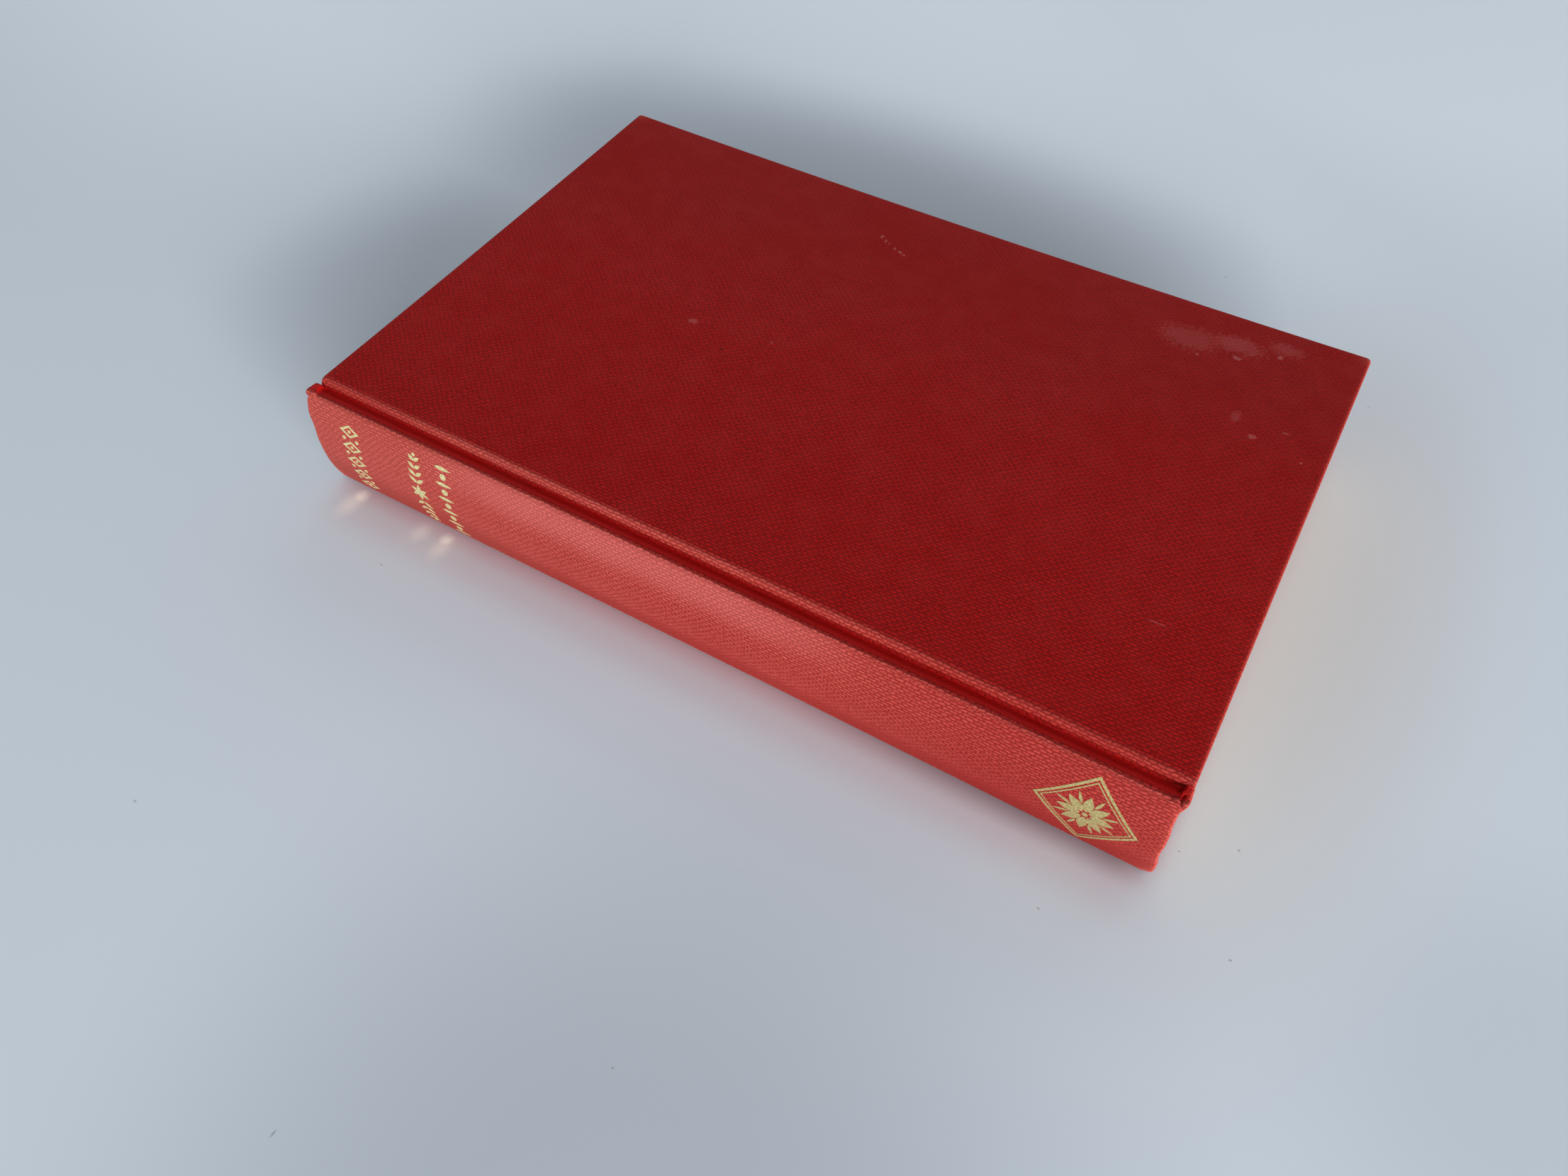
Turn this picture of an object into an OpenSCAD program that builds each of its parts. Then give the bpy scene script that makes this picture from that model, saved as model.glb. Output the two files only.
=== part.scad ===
// Hardback book, case bound: a rounded and backed block of pages in a cloth case.
// The book lies on its back cover. +X runs along the spine from head to tail,
// +Y from the spine to the fore edge and +Z up through the front cover.
// The origin is under the middle of the closed book.

/* [Pages] */
// Height of a page, head to tail
page_h = 198; // [120:1:280]
// Width of a page, shoulder to fore edge
page_w = 127.5; // [80:0.5:200]
// Thickness of all the pages, without endpapers
block_t = 20.6; // [10:0.2:45]
// How deep the fore edge is hollowed by the rounding
fore_round = 2; // [0.5:0.1:4]
// Thickness of an endpaper
paper_t = 0.15; // [0.1:0.01:0.3]

/* [Boards] */
// Thickness of a board
board_t = 2.5; // [1.5:0.1:4]
// How far the boards stand out past the pages on three sides
square = 3; // [2:0.1:5]
// Rounding of the board's edge along the joint
board_edge_r = 0.6; // [0.2:0.05:1.2]
// Thickness of the covering cloth
cloth_t = 0.3; // [0.2:0.02:0.5]
// Width of cloth turned in over the inside of the boards and spine
turn_in = 15; // [10:0.5:20]
// Rounding of the covered edges at head, tail and fore edge
edge_r = 0.6; // [0.3:0.05:0.9]
// Rounding of the two covered fore edge corners, seen from above
corner_r = 1; // [0.5:0.1:3]

/* [Joint] */
// Distance from the ridge beside the spine to the board's edge
joint_w = 4.25; // [3.75:0.05:7]
// Tightness of the joint's fold over the ridge, as its inside radius
fold_r = 0.3; // [0.2:0.05:0.5]
// How far the ridge lies below the face of the cover
ridge_drop = 0.5; // [0.3:0.05:1]
// Slope of the joint's wall
joint_slope = 55; // [45:1:65]
// Radius along the bottom of the joint
groove_r = 1; // [0.6:0.05:1.2]
// Air between a closed cover and the leaf under it
cover_gap = 0.3; // [0.2:0.05:0.6]
// Width of the lining's flap on the inside of a board
flap_w = 25; // [15:1:40]

/* [Spine] */
// How far the middle of the spine stands out past its ridges
spine_round = 2.3; // [1.5:0.1:4]
// Thickness of the card that stiffens the spine
card_t = 0.5; // [0.3:0.05:1]
// Thickness of the lining glued to the back of the pages
lining_t = 0.3; // [0.2:0.05:0.5]
// Hollow between the lining and the spine's turned-in cloth
hollow = 0.25; // [0.15:0.05:1]
// Distance from the card's edge to the ridge, round the spine
card_inset = 0.6; // [0.4:0.1:2]

/* [Head and tail bands] */
// Diameter of the bead at the head and tail of the pages
band_d = 1.5; // [1:0.1:2.2]
// Width of the band's tape on the back of the pages
band_tape = 8; // [4:0.5:15]
// Distance that a band keeps from the flat sides of the pages
band_inset = 0.8; // [0.5:0.1:3]

/* [Hidden] */

cloth_red = "firebrick";
page_cream = "antiquewhite";
board_grey = "darkkhaki";
gauze_white = "gainsboro";
card_tan = "tan";
band_white = "ivory";

spine_steps = 48;   // straight steps in an arc across the spine or the fore edge
bend_steps = 8;     // and in an arc along an edge or a fold
hinge_gap = 0.2;    // slit between spine cloth and cover cloth, where the cover turns

// Heights above the middle of the closed book
leaf_v = block_t / 2;                       // flat side of the pages
inner_v = leaf_v + paper_t + cover_gap;     // inside of a cover, on its pastedown
turn_v = inner_v + paper_t;                 // inside of the turned-in cloth
board_v = turn_v + cloth_t;                 // inside of a board
board_top_v = board_v + board_t;
cover_v = board_top_v + cloth_t;            // outside of a cover
floor_v = board_v + cloth_t;                // outside of the cloth along the joint's bottom
book_t = 2 * cover_v;

// The joint strip: cloth, then turned-in cloth or lining flap, then pastedown
strip_t = 2 * cloth_t + paper_t;
leaf_depth = strip_t + cover_gap;           // from the cloth's face down to the flyleaf
block_depth = leaf_depth + paper_t;         // and down to the pages

// Ridge and groove are two arcs that one slope touches. The cover turns at the slope's top
uphill = [sin(joint_slope), cos(joint_slope)];
along_slope = [-cos(joint_slope), sin(joint_slope)];
ridge_r = fold_r + strip_t;
ridge = [-joint_w, cover_v - ridge_drop - ridge_r];
groove_v = floor_v + groove_r;
groove = [(uphill * ridge + ridge_r + groove_r - uphill[1] * groove_v) / uphill[0], groove_v];

// Spine arcs, all about one centre; the outer one runs smoothly into both ridges
ridge_reach = (ridge[1] * ridge[1] + spine_round * spine_round) / (2 * spine_round);
ridge_angle = asin(ridge[1] / ridge_reach);
centre = [ridge[0] + ridge_reach - spine_round, 0];
spine_r = ridge_reach + ridge_r;
card_r = spine_r - cloth_t;                 // outside of the card
tuck_r = card_r - card_t;                   // outside of the cloth turned in behind it
tuck_in_r = tuck_r - cloth_t;
lining_r = tuck_in_r - hollow;              // outside of the lining
back_r = lining_r - lining_t;               // back of the pages
card_angle = ridge_angle - asin(card_inset / spine_r);
band_angle = asin((leaf_v - band_inset) / back_r);

// Lengths that follow from the pages
case_h = page_h + 2 * square;
board_h = case_h - 2 * cloth_t;
fore_u = shoulder(block_depth)[0] + page_w;         // corners of the fore edge
cover_u = fore_u + square;                          // outside of a cover's fore edge
board_w = cover_u - cloth_t;
spine_u = centre[0] - spine_r;                      // the spine's outermost line
middle_u = (spine_u + cover_u) / 2;
fore_r = (leaf_v * leaf_v + fore_round * fore_round) / (2 * fore_round);
fore_angle = asin(leaf_v / fore_r);

// Outlines are lists of points: u across the book from the joint edge of the boards, v up
function arc(middle, r, from, to, steps = bend_steps) =
    [for (i = [0:steps]) let (a = from + (to - from) * i / steps) middle + r * [cos(a), sin(a)]];
function backwards(points) = [for (i = [len(points) - 1:-1:0]) points[i]];
function upside_down(points) = [for (p = backwards(points)) [p[0], -p[1]]];

// Where a layer's slope, that deep in the joint, meets the back of the pages
function shoulder(depth) =
    let (start = ridge + (ridge_r - depth) * uphill - centre,
        b = start * along_slope,
        c = start * start - back_r * back_r)
    start + centre + (sqrt(b * b - c) - b) * along_slope;

// A layer's line round the bottom of the joint, and down the slope from the hinge before that
function groove_line(depth) =
    arc(groove, groove_r + depth, 270 - joint_slope, 270);
function joint_line(depth) =
    concat([ridge + (ridge_r - depth) * uphill - hinge_gap * along_slope], groove_line(depth));

// A layer of a cover, between two depths, from the hinge to a distance inside the board's edge
function cover_layer(outside, inside, reach) =
    concat(joint_line(outside), [[reach, floor_v - outside], [reach, floor_v - inside]],
        backwards(joint_line(inside)));

// Outside of a covered board, from its joint edge over the top and round the fore edge
function board_face() =
    let (r = board_edge_r + cloth_t)
    concat([[-cloth_t, floor_v]],
        arc([r - cloth_t, cover_v - r], r, 180, 90),
        arc([cover_u - edge_r, cover_v - edge_r], edge_r, 90, 0),
        arc([cover_u - edge_r, turn_v + edge_r], edge_r, 0, -90));

function board_outline() =
    concat([[board_w, board_v], [board_w, board_top_v]],
        arc([board_edge_r, board_top_v - board_edge_r], board_edge_r, 90, 180),
        [[0, board_v]]);

// A line across the spine at some radius, from the bottom side to the top side
function spine_line(r, angle) = arc(centre, r, 180 + angle, 180 - angle, spine_steps);

// The spine cloth's line, a depth below its face, which runs on over both ridges to the hinges
function spine_cloth_line(depth) =
    let (over = arc(ridge, ridge_r - depth, 180 - ridge_angle, 90 - joint_slope))
    concat(upside_down(over), spine_line(spine_r - depth, ridge_angle), over);

// Stands an outline up in the book and runs it along the spine, centred unless a start is given
module along_spine(length, points, from = undef) {
    start = is_undef(from) ? -length / 2 : from;
    translate([start, -middle_u, cover_v]) rotate([90, 0, 90]) linear_extrude(length) polygon(points);
}

// The same for one slab at the head and one at the tail of the case
module at_both_ends(length, points) {
    along_spine(length, points, -case_h / 2);
    along_spine(length, points, case_h / 2 - length);
}

// The mirror image through the middle of the closed book
module for_back() {
    translate([0, 0, book_t]) mirror([0, 0, 1]) children();
}

module spine_layer(length, outer_r, inner_r, angle, from = undef) {
    points = concat(spine_line(outer_r, angle), backwards(spine_line(inner_r, angle)));
    along_spine(length, points, from);
}

// An outline that is the same to both sides of the book's middle
module symmetric(half) {
    polygon(concat(half, [for (p = backwards(half)) [-p[0], p[1]]]));
}

// Everything inside the plan of a cover or board, which has two rounded corners at the fore edge
module plan(half_h, far_u, r) {
    corner = arc([half_h - r, far_u - middle_u - r], r, 0, 90);
    translate([0, 0, -book_t]) linear_extrude(3 * book_t)
        symmetric(concat([[half_h, -2 * cover_u]], corner));
}

// Everything inside a cover's rounded edges at head and tail
module rounded_ends() {
    edge = arc([case_h / 2 - edge_r, book_t - edge_r], edge_r, 0, 90);
    rotate([90, 0, 0]) translate([0, 0, -2 * cover_u]) linear_extrude(4 * cover_u)
        symmetric(concat([[case_h / 2, -book_t]], edge));
}

module text_block() {
    side = concat([shoulder(block_depth)], groove_line(block_depth), [[fore_u, leaf_v]]);
    back_angle = asin(side[0][1] / back_r);
    hollow_edge = arc([fore_u - fore_round + fore_r, 0], fore_r,
        180 - fore_angle, 180 + fore_angle, spine_steps);
    color(page_cream) along_spine(page_h, concat(side, hollow_edge, upside_down(side),
        spine_line(back_r, back_angle)));
}

module flyleaf() {
    color(page_cream) along_spine(page_h, concat(
        [shoulder(leaf_depth)], groove_line(leaf_depth), [[fore_u, leaf_v + paper_t]],
        [[fore_u, leaf_v]], backwards(groove_line(block_depth)), [shoulder(block_depth)]));
}

module spine_lining() {
    lining_angle = asin(shoulder(block_depth)[1] / back_r);
    color(gauze_white) spine_layer(page_h - 2 * band_tape, lining_r, back_r, lining_angle);
}

// A bead on the end of the pages, with its tape on their back and a little way over the bead
module band(side) {
    bead_r = band_d / 2;
    tape_h = band_tape + bead_r / 2;
    tape_middle = side * (page_h / 2 - band_tape + tape_h / 2);
    color(band_white) {
        spine_layer(tape_h, lining_r, back_r, band_angle, tape_middle - tape_h / 2);
        translate([side * (page_h / 2 + bead_r), centre[0] - middle_u, cover_v])
            rotate([0, 90, 0]) rotate([0, 0, -90 - band_angle])
            rotate_extrude(angle = 2 * band_angle, $fn = 6 * spine_steps)
            translate([lining_r - bead_r, 0]) circle(bead_r, $fn = 3 * bend_steps);
    }
}

module spine_card() {
    color(card_tan) spine_layer(board_h, card_r, tuck_r, card_angle);
}

module spine_cloth() {
    face = concat(spine_cloth_line(0), backwards(spine_cloth_line(cloth_t)));
    tuck = concat(spine_line(tuck_r, card_angle), backwards(spine_line(tuck_in_r, card_angle)));
    turned_edge = concat(spine_line(card_r + cloth_t / 2, card_angle),
        backwards(spine_line(tuck_in_r, card_angle)));
    color(cloth_red) {
        along_spine(case_h, face);
        at_both_ends(turn_in, tuck);
        at_both_ends(cloth_t, turned_edge);
    }
}

module board() {
    color(board_grey) intersection() {
        along_spine(board_h, board_outline());
        plan(board_h / 2, board_w, max(corner_r - cloth_t, 0.1));
    }
}

module lining_flap() {
    color(gauze_white) along_spine(case_h - 2 * turn_in, cover_layer(cloth_t, 2 * cloth_t, flap_w));
}

// Cloth over the joint and the board, turned in round the fore edge, the head and the tail
module cover_cloth() {
    fore_turn = board_w - turn_in;
    face = concat(joint_line(0), board_face(), [[fore_turn, turn_v], [fore_turn, board_v]],
        board_outline(), backwards(joint_line(cloth_t)));
    turned_edge = concat(joint_line(0), board_face(), backwards(joint_line(2 * cloth_t)));
    color(cloth_red) intersection() {
        union() {
            along_spine(case_h, face);
            at_both_ends(turn_in, cover_layer(cloth_t, 2 * cloth_t, cover_u - edge_r));
            at_both_ends(cloth_t, turned_edge);
        }
        rounded_ends();
        plan(case_h / 2, cover_u, corner_r);
    }
}

// A sheet over the turned-in cloth and the lining's flap, which drops onto the board between them
module pastedown() {
    open_h = case_h - 2 * turn_in;
    open_w = board_w - turn_in - flap_w;
    drop_h = open_h - 2 * paper_t;
    module slab(length, from_u, width, top_v) {
        along_spine(length, [[from_u, inner_v], [from_u, top_v],
            [from_u + width, top_v], [from_u + width, inner_v]]);
    }
    color(page_cream) difference() {
        union() {
            along_spine(page_h, cover_layer(2 * cloth_t, strip_t, fore_u));
            slab(open_h, flap_w, open_w, board_v);
        }
        translate([0, 0, -paper_t]) slab(drop_h, flap_w + paper_t, open_w - 2 * paper_t, board_v);
    }
}

text_block();
flyleaf();  // front_flyleaf
for_back() flyleaf();  // back_flyleaf
spine_lining();
band(-1);  // head_band
band(1);  // tail_band
spine_card();
spine_cloth();
board();  // front_board
lining_flap();  // front_lining_flap
cover_cloth();  // front_cloth
pastedown();  // front_pastedown
for_back() board();  // back_board
for_back() lining_flap();  // back_lining_flap
for_back() cover_cloth();  // back_cloth
for_back() pastedown();  // back_pastedown
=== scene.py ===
import math

import bpy
import numpy as np
from mathutils import Euler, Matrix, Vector


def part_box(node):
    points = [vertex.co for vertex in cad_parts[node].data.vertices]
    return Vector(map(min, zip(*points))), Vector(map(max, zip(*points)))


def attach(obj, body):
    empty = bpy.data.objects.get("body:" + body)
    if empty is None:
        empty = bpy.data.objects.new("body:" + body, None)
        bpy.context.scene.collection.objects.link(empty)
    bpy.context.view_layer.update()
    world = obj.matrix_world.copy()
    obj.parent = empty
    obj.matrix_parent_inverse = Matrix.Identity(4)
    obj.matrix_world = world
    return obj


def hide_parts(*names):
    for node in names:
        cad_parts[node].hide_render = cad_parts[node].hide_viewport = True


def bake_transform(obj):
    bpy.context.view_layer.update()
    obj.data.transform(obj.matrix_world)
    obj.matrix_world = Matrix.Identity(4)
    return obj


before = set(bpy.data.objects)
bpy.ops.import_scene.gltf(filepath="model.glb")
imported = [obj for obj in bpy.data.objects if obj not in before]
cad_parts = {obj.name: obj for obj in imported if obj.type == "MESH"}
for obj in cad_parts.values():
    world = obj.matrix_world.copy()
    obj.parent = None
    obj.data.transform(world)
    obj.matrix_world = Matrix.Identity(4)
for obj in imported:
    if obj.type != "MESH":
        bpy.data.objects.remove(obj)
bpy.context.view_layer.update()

MM = 0.001


def box_mm(node):
    """Lowest and highest corner of a CAD node, in millimetres"""
    return [np.array(corner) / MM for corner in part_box(node)]


# Measures taken from the frame, in millimetres
case_hi = box_mm("front_cloth")[1]
board_lo, board_hi = box_mm("front_board")
pages_hi = box_mm("text_block")[1]
spine_lo = box_mm("spine_cloth")[0]
lining_lo = box_mm("spine_lining")[0]
card_hi = box_mm("spine_card")[1]
paste_lo, paste_hi = box_mm("front_pastedown")
half_x = case_hi[0]
mid_z = (box_mm("back_cloth")[0][2] + case_hi[2]) / 2
cover_v = case_hi[2] - mid_z
joint_y = board_lo[1]
fore_u = case_hi[1] - joint_y
cloth_t = case_hi[2] - board_hi[2]
cover_t = board_hi[2] - board_lo[2] + 2 * cloth_t

# Thicknesses of an end paper, the spine's card and the lining on the pages' back
PAPER_T = 0.15
CARD_T = 0.5
LINING_T = 0.3

# Points across the book are (u, v): u from the boards' joint edge towards the fore edge,
# v up from mid-thickness. The spine is an arc that ends on the round top of each ridge.
RIDGE_U, RIDGE_V, RIDGE_R = -4.25, 12.45, 1.05
spine_u = spine_lo[1] - joint_y
ridge_in = RIDGE_U - spine_u
spine_r = (RIDGE_V**2 + ridge_in**2 - RIDGE_R**2) / (2 * (ridge_in - RIDGE_R))
arc_u = spine_u + spine_r

# How the cloth lies on the case: the radii of its folded edges and of the boards' corners, the
# width turned in, the fold's depth over the spine card, and how far the spine's ends reach
EDGE_R = 0.6
CORNER_R = 1.2
TURN_IN = 15.0
CARD_FOLD = 1.1
CAP_REACH = 101.4

# The fore edge of the front board is bowed: its corners stand this much higher
BOW = 1.0


def smooth(t):
    """Rises from 0 to 1 as t does, with level ends"""
    t = np.clip(t, 0, 1)
    return t * t * (3 - 2 * t)


def graded(length, near, far, longest, growth=0.25):
    """Stations from 0 to length, close together at the ends and at most longest apart"""
    s = np.linspace(0, length, 4001)
    step = np.minimum(np.minimum(near + growth * s, far + growth * (length - s)), longest)
    count = np.concatenate([[0], np.cumsum((1 / step[1:] + 1 / step[:-1]) / 2 * np.diff(s))])
    return np.interp(np.linspace(0, count[-1], math.ceil(count[-1]) + 1), count, s)


def curve(points, steps):
    """A smooth curve through the points, with that many steps from each to the next"""
    p = np.array(points, float)
    p = np.vstack([2 * p[0] - p[1], p, 2 * p[-1] - p[-2]])
    made = []
    for a, b, c, d in zip(p, p[1:], p[2:], p[3:]):
        for s in np.arange(steps) / steps:
            bend = (2 * a - 5 * b + 4 * c - d) * s**2 + (3 * b - a - 3 * c + d) * s**3
            made.append(b + ((c - a) * s + bend) / 2)
    return np.array(made + [p[-2]])


def ripple(s, *waves):
    """A sum of sines: each wave is its height, its length and its phase"""
    return sum(height * np.sin(2 * np.pi * s / length + phase) for height, length, phase in waves)


def coords(*parts):
    """Coordinates in the last axis, from arrays or numbers for x, u and v"""
    return np.stack(np.broadcast_arrays(*parts), -1)


class Surface:
    """Quads on a grid of points, with flat coordinates in millimetres that carry the pattern"""

    def __init__(self):
        self.points = np.zeros((0, 3))
        self.looks = np.zeros((0, 3))
        self.quads = []
        self.flats = []

    def add(self, points, wear=0.0, grain=1.0, fade_and_sheen=1.0):
        """Adds a grid of points, with their wear, grain, and fading with painted sheen, and returns
        their numbers
        """
        numbers = len(self.points) + np.arange(points[..., 0].size).reshape(points.shape[:-1])
        self.points = np.vstack([self.points, points.reshape(-1, 3)])
        looks = [np.broadcast_to(look, numbers.shape).ravel() for look in (wear, grain, fade_and_sheen)]
        self.looks = np.vstack([self.looks, np.stack(looks, 1)])
        return numbers

    def patch(self, numbers, flat):
        """Covers a grid of point numbers with quads, facing the side that x cross u faces"""
        for store, grid in ((self.quads, numbers), (self.flats, flat)):
            store.append(np.stack([grid[:-1, :-1], grid[1:, :-1], grid[1:, 1:], grid[:-1, 1:]], 2))

    def arrays(self):
        """The points, the quads, their flat coordinates and the points' looks"""
        quads = np.vstack([q.reshape(-1, 4) for q in self.quads])
        flats = np.vstack([f.reshape(-1, 4, 2) for f in self.flats])
        return self.points, quads, flats, self.looks

    def shell(self, thickness):
        """The surface with a second one that far behind it, closed along its rim"""
        points, quads, flats, looks = self.arrays()
        corner = points[quads]
        faces = np.cross(corner[:, 2] - corner[:, 0], corner[:, 3] - corner[:, 1])
        normals = np.zeros_like(points)
        for k in range(4):
            np.add.at(normals, quads[:, k], faces)
        normals /= np.linalg.norm(normals, axis=1, keepdims=True)
        behind = len(points)
        edges = {}
        for q, f in zip(quads, flats):
            for k in range(4):
                edges[q[k], q[(k + 1) % 4]] = (f[k], f[(k + 1) % 4])
        rim = [(e, f) for e, f in edges.items() if (e[1], e[0]) not in edges]
        rims = np.array([[b, a, a + behind, b + behind] for (a, b), f in rim])
        rim_flats = np.array([[fb, fa, fa, fb] for e, (fa, fb) in rim])
        return (
            np.vstack([points, points - normals * thickness]),
            np.vstack([quads, quads[:, ::-1] + behind, rims]),
            np.vstack([flats, flats[:, ::-1], rim_flats]),
            np.vstack([looks, looks]),
        )


def to_row(points, side=1):
    """Points (x, u, v) in millimetres as points in metres. Side -1 is the book's back half"""
    x, u, v = np.moveaxis(points, -1, 0)
    return coords(x, u + joint_y, v * side + mid_z) * MM


def add_object(name, data):
    """A new object in the scene"""
    made = bpy.data.objects.new(name, data)
    bpy.context.scene.collection.objects.link(made)
    return made


# The cloth's looks are attributes of its points: how rubbed it is, how strong its grain is, and
# how faded it is, with painted sheen. A value of 1 is the spine's faded cloth with painted sheen
# where it faces the light, more is brighter painted sheen, and below 0 is the first red, painted
# lighter to lift the shade in the groove
LOOKS = "wear", "grain", "fade_and_sheen"


def make_piece(name, arrays, material, side, crease):
    """A mesh object from the arrays of a surface or a shell, sharp at edges above crease degrees"""
    points, quads, flats, looks = arrays
    if side < 0:
        quads, flats = quads[:, ::-1], flats[:, ::-1]
    mesh = bpy.data.meshes.new(name)
    mesh.from_pydata(to_row(points, side).tolist(), [], quads.tolist())
    mesh.uv_layers.new(name="flat").data.foreach_set("uv", flats.ravel())
    for column, label in enumerate(LOOKS):
        values = np.ascontiguousarray(looks[:, column])
        mesh.attributes.new(label, "FLOAT", "POINT").data.foreach_set("value", values)
    mesh.shade_smooth()
    mesh.set_sharp_from_angle(angle=math.radians(crease))
    mesh.materials.append(material)
    return add_object(name, mesh)


class Tree:
    """The node tree of a material or a world, with short calls for its usual nodes"""

    def __init__(self, owner, shader="Principled BSDF"):
        self.owner = owner
        owner.use_nodes = True
        self.nodes = owner.node_tree.nodes
        self.links = owner.node_tree.links
        self.shader = self.nodes[shader]

    def join(self, value, socket):
        """Links a socket, or sets a number or colour"""
        if isinstance(value, bpy.types.NodeSocket):
            self.links.new(value, socket)
        else:
            socket.default_value = value

    def node(self, kind, inputs=None, output=0, **settings):
        """One or more outputs of a new node"""
        node = self.nodes.new("ShaderNode" + kind)
        for key, value in settings.items():
            setattr(node, key, value)
        for key, value in (inputs or {}).items():
            self.join(value, node.inputs[key])
        return node.outputs[output]

    def math(self, operation, *values):
        return self.node("Math", dict(enumerate(values)), operation=operation)

    def product(self, first, *others):
        """All the values multiplied together"""
        for value in others:
            first = self.math("MULTIPLY", first, value)
        return first

    def vector(self, operation, *values, output=0):
        return self.node("VectorMath", dict(enumerate(values)), output, operation=operation)

    def split(self, vector):
        """The vector's x, y and z"""
        return self.node("SeparateXYZ", {0: vector}, slice(None))

    def flat(self):
        """Where a point lies on the flat sheet, in millimetres"""
        return self.node("UVMap", uv_map="flat")

    def place(self):
        """Where a point lies in the frame, in metres"""
        return self.node("TexCoord", output=3)

    def ramp(self, value, low, high, start=0.0, end=1.0):
        """Rises smoothly from start to end as value goes from low to high"""
        places = {"Value": value, "From Min": low, "From Max": high, "To Min": start, "To Max": end}
        return self.node("MapRange", places, interpolation_type="SMOOTHSTEP")

    def noise(self, place, size, detail=2.0, stretch=(1, 1, 1)):
        """Noise from 0 to 1 whose lumps have that size, in the units of place"""
        scaled = self.vector("MULTIPLY", place, tuple(s / size for s in stretch))
        return self.node("TexNoise", {"Vector": scaled, "Scale": 1.0, "Detail": detail})

    def wander(self, place, scale, detail, amount):
        """Vectors of noise about zero"""
        noise = self.node("TexNoise", {"Vector": place, "Scale": scale, "Detail": detail}, 1)
        return self.vector("MULTIPLY", self.vector("SUBTRACT", noise, (0.5,) * 3), (amount,) * 3)

    def mix(self, factor, a, b):
        """A mix of two colours"""
        return self.node("Mix", {0: factor, 6: a, 7: b}, 2, data_type="RGBA")

    def bump(self, height, distance, strength=1.0):
        return self.node("Bump", {"Height": height, "Distance": distance, "Strength": strength})

    def finish(self, **sockets):
        """Sets the shader's sockets, and returns the material or the world"""
        for key, value in sockets.items():
            self.join(value, self.shader.inputs[key.replace("_", " ")])
        return self.owner


def new_material(name):
    return Tree(bpy.data.materials.new(name))


def srgb(r, g, b):
    """A colour given in 0 to 255 as a screen shows it"""
    linear = [c / 255 / 12.92 if c < 11 else ((c / 255 + 0.055) / 1.055) ** 2.4 for c in (r, g, b)]
    return (*linear, 1.0)


# Cloth

# The embossed grain: its beads' length and width, and their height
BEAD_X = 1.66
BEAD_V = 0.74
BEAD_DEPTH = 0.19

# Reds of the cloth, in the hollows of its grain and on its beads. The faded reds carry painted
# sheen where the cloth faces the light
DEEP_RED = (119, 4, 4), (172, 14, 12)
FADED_AND_SHEEN_RED = (140, 32, 28), (188, 78, 69)
# Reds that are mixed over these
# The first red, kept in the groove and painted lighter there to lift its shade
FIRST_RED_WITH_PAINTED_LIGHT = 196, 18, 16
# Painted sheen on the upper spine, about its middle
PAINTED_SHEEN_RED = 214, 122, 118
STAINED_RED = 140, 12, 10
PATCHY_RED = 170, 48, 46
HEAD_RED = 184, 110, 98
# Painted shade towards the tail
TAIL_SHADE_RED = 104, 34, 34
RUBBED_RED = 218, 100, 86
PALE_MARK = 200, 128, 124
DARK_MARK = 44, 8, 8


def bead_height(t, flat):
    """Height of the embossed grain: staggered rows of rounded beads, a little uneven"""
    place = t.vector("ADD", flat, t.wander(flat, 0.35, 2.0, 0.9))
    x, v, _ = t.split(place)
    across = t.math("DIVIDE", v, BEAD_V)
    stagger = t.product(t.math("MODULO", t.math("FLOOR", across), 2.0), 0.5)
    along = t.math("ADD", t.math("DIVIDE", x, BEAD_X), stagger)
    waves = [t.math("SINE", t.product(t.math("FRACT", s), math.pi)) for s in (along, across)]
    bead = [t.math("POWER", wave, power) for wave, power in zip(waves, (0.45, 0.95))]
    uneven = t.noise(place, 0.8, detail=1.0)
    return t.product(*bead, t.ramp(uneven, 0.2, 0.7, 0.35, 1.0))


def spots(t, flat, places, core=0.4, ragged=1.6):
    """Where small irregular spots are. Each is (x, u, half length, half width, strength)"""
    rough = t.wander(flat, 1.3, 3.0, ragged)
    total = 0.0
    for x, u, long, wide, strength in places:
        away = t.vector("SUBTRACT", flat, (x, u, 0))
        away = t.vector("MULTIPLY", away, (1 / long, 1 / wide, 0))
        length = t.vector("LENGTH", t.vector("ADD", away, rough), output=1)
        total = t.math("MAXIMUM", total, t.ramp(length, core, 1.0, strength, 0.0))
    return total


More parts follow.
